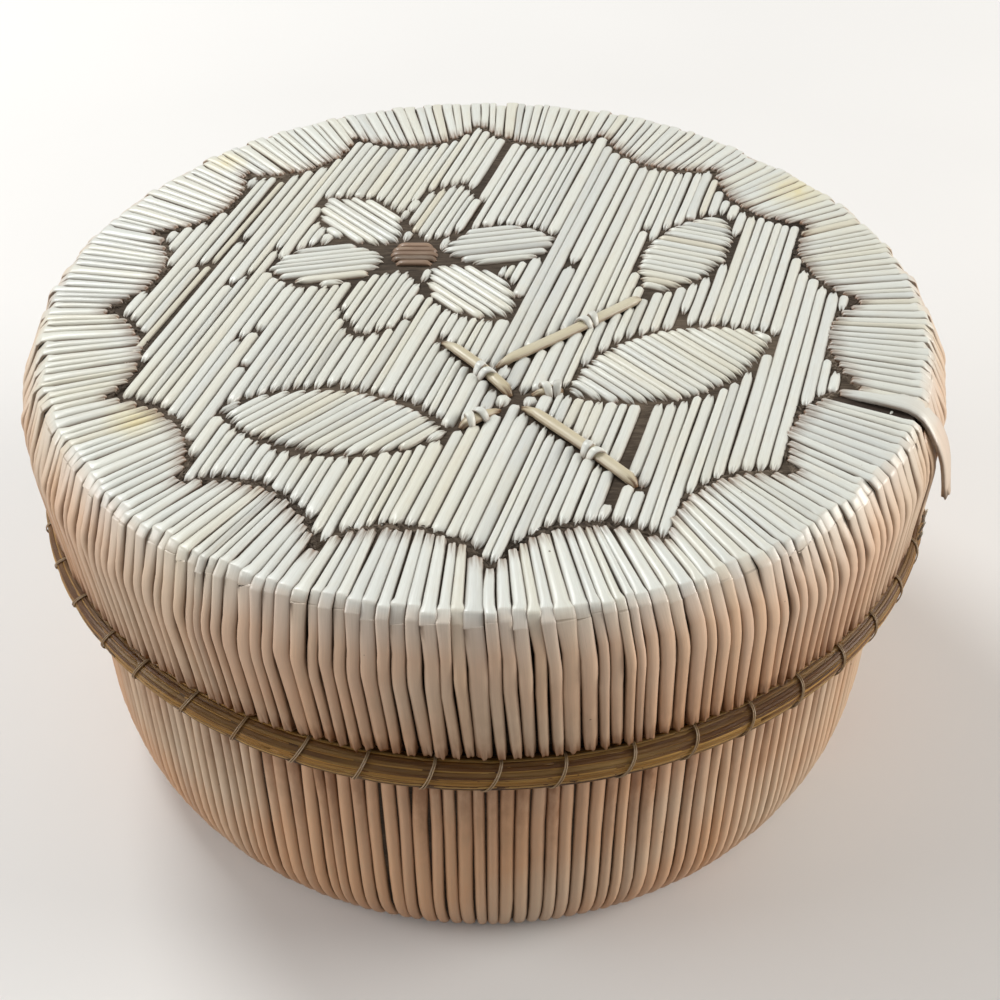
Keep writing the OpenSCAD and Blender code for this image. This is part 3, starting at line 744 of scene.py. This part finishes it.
def chord(o, d, centre, radius):
    """Where the line from o along d is inside a circle, as distances from o, or None."""
    v = np.asarray(centre) - o
    t = v @ d
    h = radius ** 2 - v @ v + t * t
    return (t - math.sqrt(h), t + math.sqrt(h)) if h > 0 else None


def shared(a, b):
    if a is None or b is None or max(a[0], b[0]) >= min(a[1], b[1]):
        return None
    return (max(a[0], b[0]), min(a[1], b[1]))


def without(parts, gap):
    if gap is None:
        return parts
    rest = [t for s in parts for t in ((s[0], min(s[1], gap[0])), (max(s[0], gap[1]), s[1]))]
    return [t for t in rest if t[1] - t[0] >= SHORTEST]


def leaf_chord(o, d, leaf, more=0.0):
    """The same for a leaf, which is where two circles overlap."""
    centre, length, width, turn = leaf[:4]
    r = (length ** 2 + width ** 2) / (4 * width)
    a = math.radians(turn)
    side = np.array([-math.sin(a), math.cos(a)]) * (r - width / 2)
    return shared(chord(o, d, centre + side, r + more), chord(o, d, centre - side, r + more))


PETAL_TURNS = [PETAL_TURN + i * 360 / PETALS for i in range(PETALS)]
PETAL_LIST = [[FLOWER + (EYE_R + SHAPE_GAP + PETAL_L / 2) * heading(a), PETAL_L, PETAL_W, a]
              for a in PETAL_TURNS]
LOBE_LIST = [(LOBE_C * heading(CUSP_TURN + (2 * i + 1) * LOBE_HALF), LOBE_R + 0.35)
             for i in range(LOBES)]
STEM_LINES = [[(s[0] + s[1]) / 2, np.linalg.norm(s[1] - s[0]) + 3, 1.1,
               math.degrees(math.atan2(*(s[1] - s[0])[::-1]))] for s in STEMS]

# Over the distance from a quill's end: share of its width, and how far it is pushed in
BLUNT = (((0, 0.5), (0.12, 0.78), (0.45, 0.95), (1.0, 1)),
         ((0, 1.0), (0.15, 0.55), (0.5, 0.14), (1.1, 0)))
POINTED = (((0, 0.2), (0.3, 0.45), (0.8, 0.78), (1.4, 0.94), (2.1, 1)),
           ((0, 0.95), (0.3, 0.5), (0.9, 0.16), (1.9, 0)))
BLUNT_TIP, POINTED_TIP, BROWNED_END = 0.5, 1.7, 0.5  # lengths
LAID_STEP, LAID_DEPTH = 3.5, 0.25  # between stations, and how far an end goes into the bark
LAID_CROWN = BARK + FIELD_H + 0.07


def lay(bundle, start, end, width, height, tone, crown=LAID_CROWN, blunt=(False, False), bow=0.0,
        box=0.9, browned=0.5):
    """A quill on the lid top from start to end, its ends pinched and pushed into the bark."""
    start, end = np.asarray(start, float), np.asarray(end, float)
    run = end - start
    length = np.linalg.norm(run)
    d = run / length
    near = np.array([0, 0.12, 0.3, 0.6, 1.0, 1.5, 2.1])
    near = near[near < length * 0.45]
    parts = max(2, int((length - 2 * near[-1]) / LAID_STEP) + 1)
    middle = np.linspace(near[-1], length - near[-1], parts)[1:-1]
    s = np.concatenate([near, middle, length - near[::-1]])
    ends = [[table(gap, pairs) for pairs in (BLUNT if flat else POINTED)]
            for flat, gap in zip(blunt, (s, length - s))]
    w = width * ends[0][0] * ends[1][0] * uneven(s, 0.02)
    sunk = np.maximum(ends[0][1], ends[1][1])
    z = crown - sunk * (crown - BARK + LAID_DEPTH)
    bowed = (bow * np.sin(math.pi * s / length))[:, None]
    path = np.concatenate([start + d * s[:, None] + sideways(d) * bowed, z[:, None]], axis=1)
    first, last = (BLUNT_TIP if flat else POINTED_TIP for flat in blunt)
    tip = np.clip(1 - np.minimum(s / first, (length - s) / last), 0, 1)
    stain = np.clip(1 - np.minimum(s, length - s) / BROWNED_END, 0, 1) * browned
    bundle.add(path, (0, 0, 1), w, height * (1 - 0.35 * sunk), tone, sides=20, tip=tip,
               stain=stain, pleats=0.4, box=box)


LONG = heading(FIELD_TURN)
ACROSS = sideways(LONG)
# Slits where a quill is gone: distance to the left of the middle line, from and to along it, width
SLITS = ((39.3, -28, 24, 2.0), (-25.6, -34, 6, 0.9), (10.6, 22, 52, 0.5), (-41.6, -22, 4, 0.4))
# Lone brown quills in the slit on the left: distance to the left, from and to along the line
LONE_QUILLS = ((39.6, -26.5, -2), (39.2, -1.6, 22.5))
FIELD_MARGIN = 1.0  # from the cusps to the first and last line of quills
CUT_ALWAYS, CUT_SOMETIMES, CUT_CHANCE = 62, 30, 0.22  # longer than this, it is made of two quills

bands = {"left": Bundle(), "middle": Bundle(), "right": Bundle()}
at = -CUSP_R + FIELD_MARGIN
while at < CUSP_R - FIELD_MARGIN:
    pitch = FIELD_PITCH * about(1, 0.17, 0.68, 1.45)
    mid = at + pitch / 2
    at += pitch
    o = mid * ACROSS
    whole = chord(o, LONG, (0, 0), CUSP_R - 0.8)
    if whole is None:
        continue
    parts = [whole]
    for c, r in LOBE_LIST:
        parts = without(parts, chord(o, LONG, c, r))
    for leaf in LEAVES + PETAL_LIST:
        parts = without(parts, leaf_chord(o, LONG, leaf, SHAPE_GAP - 0.3))
    parts = without(parts, chord(o, LONG, FLOWER, EYE_R + SHAPE_GAP))
    for stem in STEM_LINES:
        parts = without(parts, leaf_chord(o, LONG, stem))
    band = "left" if mid > CUSP_R / 3 else "right" if mid < -CUSP_R / 3 else "middle"
    for a, b in parts:
        cuts = [(a, b)]
        if b - a > CUT_ALWAYS or (b - a > CUT_SOMETIMES and rng.random() < CUT_CHANCE):
            m = a + rng.uniform(0.35, 0.65) * (b - a)
            cuts = [(a, m - 0.05), (m + 0.05, b)]
        for p, q in cuts:
            spans = [(p, q)]
            for left, low, high, wide in SLITS:
                if abs(left - mid) < wide / 2 + 0.3 and p < high and q > low:
                    spans = without(spans, (low, high))
            for p2, q2 in spans:
                lay(bands[band],
                    o + (p2 + rng.uniform(-0.25, 0.35)) * LONG + rng.normal(0, 0.05) * ACROSS,
                    o + (q2 + rng.uniform(-0.3, 0.25)) * LONG + rng.normal(0, 0.05) * ACROSS,
                    laid_width(pitch), FIELD_THICK, tone_of(),
                    crown=BARK + FIELD_H + 0.08 + rng.normal(0, 0.035),
                    blunt=(rng.random() < 0.1, rng.random() < 0.6), bow=rng.normal(0, 0.05),
                    box=rng.uniform(0.92, 1.05), browned=rng.uniform(0.2, 0.9))
for mid, low, high in LONE_QUILLS:
    lay(bands["left"], mid * ACROSS + low * LONG, (mid - 0.3) * ACROSS + high * LONG, 0.95, 0.8,
        0.96, crown=BARK + FIELD_H - 0.1, browned=1.0, blunt=(False, True), box=0.95)
for band, bundle in bands.items():
    bundle.make("field_" + band, natural, "lid", "natural_quill", ["field_quills_" + band])


# ---- Sprig: petals, eye, leaves, stems and the ties over them ----
def fill_leaf(bundle, leaf, turn, middle=0.5):
    """Short quills side by side, trimmed to a leaf's outline."""
    d = heading(turn)
    reach = leaf[1] / 2
    at = -reach
    while at < reach:
        pitch = SPRIG_PITCH * about(1, 0.14, 0.7, 1.35)
        o = leaf[0] + (at + pitch / 2) * sideways(d)
        at += pitch
        t = leaf_chord(o, d, leaf)
        if t and t[1] - t[0] > SHORTEST_IN_LEAF:
            lay(bundle, o + (t[0] + rng.uniform(-0.2, 0.2)) * d,
                o + (t[1] + rng.uniform(-0.2, 0.2)) * d,
                laid_width(pitch), SPRIG_THICK, tone_of(middle),
                crown=LAID_CROWN + 0.05 + rng.normal(0, 0.03),
                blunt=(rng.random() < 0.3, rng.random() < 0.5), bow=rng.normal(0, 0.05),
                box=0.98, browned=rng.uniform(0.4, 1.0))


bundle = Bundle()
for petal in PETAL_LIST:
    fill_leaf(bundle, petal, petal[3])
bundle.make("sprig_petals", natural, "lid", "natural_quill", ["petal_quills"])

bundle = Bundle()
for k in range(-2, 3):
    t = chord(FLOWER + np.array([0, k * EYE_PITCH]), np.array([1.0, 0]), FLOWER, EYE_R)
    y = FLOWER[1] + k * EYE_PITCH
    lay(bundle, (FLOWER[0] + t[0], y), (FLOWER[0] + t[1], y), 1.06, 0.62, rng.uniform(),
        blunt=(True, True), crown=BARK + FIELD_H + 0.1, box=0.9)
bundle.make("sprig_eye", brown, "lid", "brown_quill", ["flower_eye_quills"])

for side, leaf in zip(("front", "left", "right"), LEAVES):
    bundle = Bundle()
    fill_leaf(bundle, leaf, leaf[4], middle=0.58)
    bundle.make("sprig_leaf_" + side, natural, "lid", "natural_quill", ["leaf_quills_" + side])

STEM_WIDTH, STEM_CROWN = 1.62, 1.14
TIE_WIDTH, TIE_REACH = 1.15, 1.5

bundle, ties = Bundle(), Bundle()
for start, end in STEMS:
    run = end - start
    length = np.linalg.norm(run)
    d = run / length
    side = sideways(d)
    s = np.concatenate([[0, 0.3, 0.8, 1.5, 2.4],
                        np.linspace(3.2, length - 1.6, max(2, int(length / 2))),
                        [length - 0.9, length - 0.4, length]])
    w = STEM_WIDTH * table(s, ((0, 0.32), (1.5, 0.7), (3.5, 1.0), (length - 1.4, 1.0),
                               (length, 0.5)))
    z = BARK + STEM_CROWN - table(s, ((0, 1.0), (0.8, 0.45), (2.4, 0), (length - 1.3, 0),
                                      (length - 0.3, 0.5), (length, 0.95)))
    bowed = (rng.uniform(-0.03, 0.03) * length * np.sin(math.pi * s / length))[:, None]
    path = np.concatenate([start + d * s[:, None] + side * bowed, z[:, None]], axis=1)
    tip = np.clip(1 - np.minimum(s, length - s) / 2.2, 0, 1)
    bundle.add(path, (0, 0, 1), w, 0.98, rng.uniform(), box=0.95, tip=tip, stain=0.7 * tip ** 3,
               pleats=0.14)
    for step in (-1, 1):
        at = start + run * TIE_SHARE + step * TIE_STEP / 2 * d
        a = np.linspace(-1, 1, 13)
        lean = 0.35 * step
        z = BARK - 0.25 + (TIE_TOP - BARK + 0.2) * (1 - np.abs(a) ** 2.6)
        path = np.stack([at[0] + side[0] * TIE_REACH * a + d[0] * lean * a,
                         at[1] + side[1] * TIE_REACH * a + d[1] * lean * a, z], axis=1)
        normal = np.stack([side[0] * a * 1.1, side[1] * a * 1.1, 1.15 - np.abs(a)], axis=1)
        ties.add(path, normal, TIE_WIDTH * table(np.abs(a), ((0, 1), (0.7, 0.9), (1, 0.55))), 0.5,
                 rng.uniform(0, 0.6), box=0.85, tip=np.abs(a) ** 4, stain=0.8 * np.abs(a) ** 5,
                 pleats=0.12)
bundle.make("sprig_stems", tan, "lid", "tan_quill", ["stem_quills"])
ties.make("sprig_ties", natural, "lid", "natural_quill", ["stem_ties"])


# ---- Rim: a bundle of grass blades round a core, bound with doubled thread ----
def stitch_dist(turn):
    """Distance to the nearest stitch, in degrees."""
    step = 360 / STITCHES
    return np.abs((turn - CUSP_TURN + step / 2) % step - step / 2)


BLADE_TURNS = np.linspace(0, 360, 241)
WANDER_STEP = 20  # stations
CORE_INSET = 0.22
PINCH, PINCH_SPREAD = 0.14, 0.8  # depth, and degrees, at a stitch
THREAD_SPAN, THREAD_PARTS, THREAD_GAP = 140, 29, 0.13

bundle = Bundle()
for k in range(BLADES):
    length = 360 if k % 2 else rng.uniform(150, 300)
    start = rng.uniform(0, 360)
    turn = start + BLADE_TURNS[BLADE_TURNS <= length]
    n = len(turn)
    marks = np.arange(0, n + WANDER_STEP, WANDER_STEP)
    wander = np.cumsum(rng.normal(0, 0.035, n // WANDER_STEP + 2))[:len(marks)]
    wander = np.interp(np.arange(n), marks, wander)
    round_bundle = 2 * math.pi * (k + rng.uniform(-0.25, 0.25)) / BLADES + wander
    rho = (RING_R - 0.02 - rng.uniform(0, 0.13)
           - PINCH * np.exp(-(stitch_dist(turn) / PINCH_SPREAD) ** 2))
    e = spokes(turn)
    path = e * (RIM_C + rho * np.cos(round_bundle))[:, None]
    path[:, 2] = RIM_Z + rho * np.sin(round_bundle)
    up = e * np.cos(round_bundle)[:, None]
    up[:, 2] = np.sin(round_bundle)
    bundle.add(path, up, rng.uniform(0.3, 0.62), rng.uniform(0.2, 0.32), rng.uniform(), sides=8,
               box=0.85, twist=rng.uniform(-0.1, 0.1))
# The core takes the darkest grass tone: painted shade where it shows between the blades.
path = spokes(np.linspace(0, 360, 181)) * RIM_C + np.array([0, 0, RIM_Z + RING_R - CORE_INSET])
core = 2 * RING_R - 2 * CORE_INSET
bundle.add(path, (0, 0, 1), core, core, 0.0, sides=24, box=1.0)
bundle.make("rim_bundle", grass, "lid", "sweetgrass", ["rim_grass"])

bundle = Bundle()
for i in range(STITCHES):
    at = CUSP_TURN + i * 360 / STITCHES + rng.normal(0, 0.25)
    slant = math.tan(math.radians(STITCH_SLANT + rng.normal(0, 3)))
    for k in (-1, 1):
        a = np.radians(np.linspace(THREAD_SPAN, -THREAD_SPAN, THREAD_PARTS))
        rho = RING_R + 0.04
        spread = table(np.degrees(a), ((-THREAD_SPAN, 1.2), (0, 1), (THREAD_SPAN, 0.7)))
        shift = rho * np.sin(a) * slant + k * THREAD_GAP * spread
        t = np.radians(at) + shift / RIM_C
        r = RIM_C + rho * np.cos(a)
        path = np.stack([r * np.cos(t), r * np.sin(t), RIM_Z + rho * np.sin(a)], axis=1)
        up = np.stack([np.cos(a) * np.cos(t), np.cos(a) * np.sin(t), np.sin(a)], axis=1)
        bundle.add(path, up, 0.18, 0.16, rng.uniform(), sides=8, box=1.0, sink=0.5)
bundle.make("rim_thread", thread, "lid", "thread", ["rim_stitches"])

# ---- Bark: CAD nodes that stay, with their own materials ----
for node, slot in ((n["node"], n["material_slot"]) for n in frame["record"]["subparts"]):
    if slot in ("outer_bark", "lining_bark"):
        obj = frame["nodes"][node]
        obj.data.materials.clear()
        obj.data.materials.append(outer_bark if slot == "outer_bark" else lining_bark)

# Torn, crumbly bark and loose fibres along the scalloped line
RIDGE_STEPS, FIBRES = 900, 620
RIDGE_PLACES = np.array([-1.1, -0.8, -0.55, -0.3, -0.05, 0.25, 0.6])  # outwards from the line

verts, faces, across = [], [], len(RIDGE_PLACES)
for i in range(RIDGE_STEPS):
    turn = i * 360 / RIDGE_STEPS + rng.uniform(-0.1, 0.1)
    inner = border_radius(turn)
    lift = rng.uniform(0.02, 0.34, across)
    lift[0] = lift[-1] = -0.1
    for p, h in zip(RIDGE_PLACES + rng.normal(0, 0.06, across), lift):
        verts.append((*((inner + p) * heading(turn)), BARK + h))
    for k in range(across - 1):
        a, b = i * across + k, ((i + 1) % RIDGE_STEPS) * across + k
        faces.append((a, a + 1, b + 1, b))
piece("bark_ridge", verts, faces, torn_bark, "lid", smooth=False)

bundle = Bundle()
for i in range(FIBRES):
    turn = rng.uniform(0, 360)
    r = border_radius(turn) + rng.uniform(-0.95, 0.1)
    at = np.append(r * heading(turn), BARK + rng.uniform(0.12, 0.36))
    d = unit(np.append(heading(turn + 90 + rng.normal(0, 40)), rng.normal(0, 0.25)))
    half = rng.uniform(0.25, 0.75)
    path = at + d * np.array([-half, 0, half])[:, None]
    path[:, 2] += (-0.06, 0.03, -0.06)
    bundle.add(path, (0, 0, 1), rng.uniform(0.12, 0.3) * np.array([0.4, 1, 0.3]), 0.14,
               rng.uniform(), sides=6, box=0.8, twist=rng.uniform(-0.3, 0.3))
bundle.make("bark_fibres", torn_bark, "lid", "outer_bark")

# ---- Floor and light, in metres ----
FLOOR_HALF, FLOOR_Z = 3, -2e-5
FLOOR_SEEN = ((0.76, 0.755, 0.745), (0.79, 0.785, 0.775))  # its colour for the camera
FLOOR_LIT = (0.44, 0.38, 0.34)  # its colour for the light that it throws back

g = Graph("floor_pale")
pale = g.mix(g.steps(g.noise(g.place(), 6.0), 0.3, 0.7), *FLOOR_SEEN)
seen = g.node("LightPath").outputs["Is Camera Ray"]
far = g.length(g.place())
floor_mat = g.set(Base_Color=g.mix(seen, FLOOR_LIT, pale), Roughness=0.85,
                  Emission_Color=(0.95, 0.94, 0.92, 1),
                  Emission_Strength=g.times(seen, g.steps(far, 0.2, 1.1, 0.0, 0.62)))
mesh = bpy.data.meshes.new("floor")
mesh.from_pydata([(x * FLOOR_HALF, y * FLOOR_HALF, FLOOR_Z)
                  for x, y in ((-1, -1), (1, -1), (1, 1), (-1, 1))], [], [(0, 1, 2, 3)])
mesh.materials.append(floor_mat)
floor = bpy.data.objects.new("floor", mesh)
bpy.context.scene.collection.objects.link(floor)

SKY_LIGHT, SKY_SEEN = 0.36, 0.84  # strength of the world on the object, and for the camera

world = bpy.data.worlds.new("studio")
bpy.context.scene.world = world
world.use_nodes = True
sky = world.node_tree.nodes["Background"]
sky.inputs["Color"].default_value = (1.0, 0.995, 0.985, 1)
ray = world.node_tree.nodes.new("ShaderNodeLightPath")
level = world.node_tree.nodes.new("ShaderNodeMapRange")
level.inputs["To Min"].default_value = SKY_LIGHT
level.inputs["To Max"].default_value = SKY_SEEN
world.node_tree.links.new(ray.outputs["Is Camera Ray"], level.inputs["Value"])
world.node_tree.links.new(level.outputs["Result"], sky.inputs["Strength"])

LAMPS_AIM = (0, 0, 0.04)
for name, at, size, watts, colour in (
        ("key", (-0.30, 0.34, 0.60), 0.26, 2.85, (1.0, 1.0, 0.98)),
        ("side", (0.62, 0.0, 0.22), 0.36, 3.5, (1.0, 0.955, 0.90)),
        ("left", (-0.62, -0.06, 0.24), 0.36, 2.0, (1.0, 0.98, 0.965))):
    light = bpy.data.lights.new(name, "AREA")
    light.shape = "DISK"
    light.size, light.energy, light.color = size, watts, colour
    obj = bpy.data.objects.new(name, light)
    bpy.context.scene.collection.objects.link(obj)
    obj.location = at
    obj.rotation_euler = (Vector(LAMPS_AIM) - Vector(at)).to_track_quat("-Z", "Y").to_euler()

# ---- Camera ----
FRAME_PX, SENSOR = 1000, 36.0
FOCAL_PX, SHIFT_RIGHT, SHIFT_UP = 1504.1, -6.65, -1.41  # pixels
TARGET, DISTANCE, ELEVATION = np.array([3.0, 0.0, 30.2]), 223.2, math.radians(41.2546)
RIGHT = np.array([1.0, 0, 0])

eye = TARGET + DISTANCE * np.array([0, -math.cos(ELEVATION), math.sin(ELEVATION)])
forward = (TARGET - eye) / DISTANCE
upward = np.cross(RIGHT, forward)
aim = Vector(forward + RIGHT * SHIFT_RIGHT / FOCAL_PX + upward * SHIFT_UP / FOCAL_PX)
camera = bpy.data.cameras.new("camera")
camera.sensor_width = SENSOR
camera.lens = FOCAL_PX * SENSOR / FRAME_PX
camera.clip_start, camera.clip_end = 0.01, 20
camera_obj = bpy.data.objects.new("camera", camera)
bpy.context.scene.collection.objects.link(camera_obj)
camera_obj.location = eye * MM
camera_obj.rotation_euler = aim.to_track_quat("-Z", "Y").to_euler()
bpy.context.scene.camera = camera_obj
bpy.context.scene.view_settings.view_transform = "Standard"
